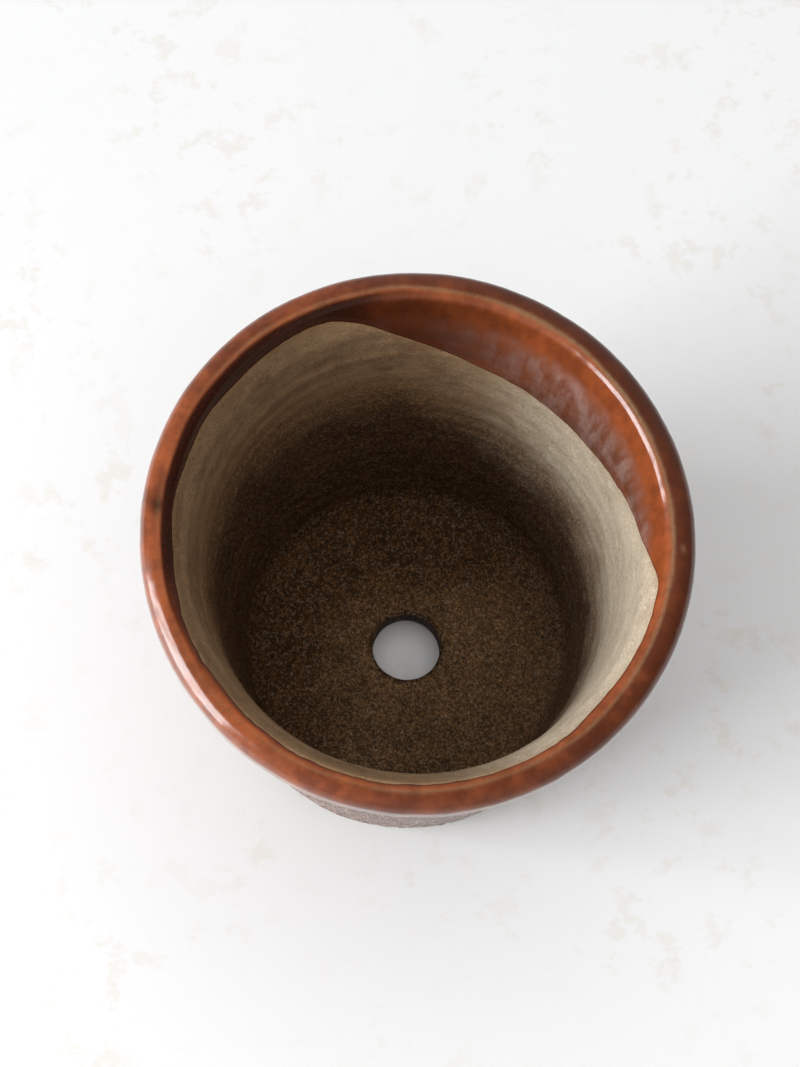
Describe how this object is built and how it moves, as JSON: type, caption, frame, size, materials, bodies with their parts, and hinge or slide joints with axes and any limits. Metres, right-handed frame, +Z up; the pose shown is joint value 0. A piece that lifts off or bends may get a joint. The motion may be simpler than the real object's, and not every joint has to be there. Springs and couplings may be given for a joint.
{
  "type": "bonsai pot",
  "caption": "Round, deep, tapered stoneware pot with a rolled glazed lip, a bare clay inside, a central drain hole and low feet, for a small bonsai.",
  "frame": {"origin": "on the pot's own axis, at the level of the soles of the feet, where the pot stands", "axes": "+Z up along the pot's axis, out of its mouth; the inner glaze run is deepest at 55 degrees from +X towards +Y"},
  "size_m": [0.114, 0.114, 0.1112],
  "materials": {
    "bare_clay": "matte",
    "rough_glaze": "satin",
    "lip_glaze": "gloss",
    "run_glaze": "gloss",
    "foot_clay": "matte"
  },
  "bodies": {
    "root": {"clay_body": "bare_clay", "glaze_outer": "rough_glaze", "glaze_lip": "lip_glaze", "glaze_run": "run_glaze", "foot_1": "foot_clay", "foot_2": "foot_clay", "foot_3": "foot_clay"}
  },
  "joints": []
}
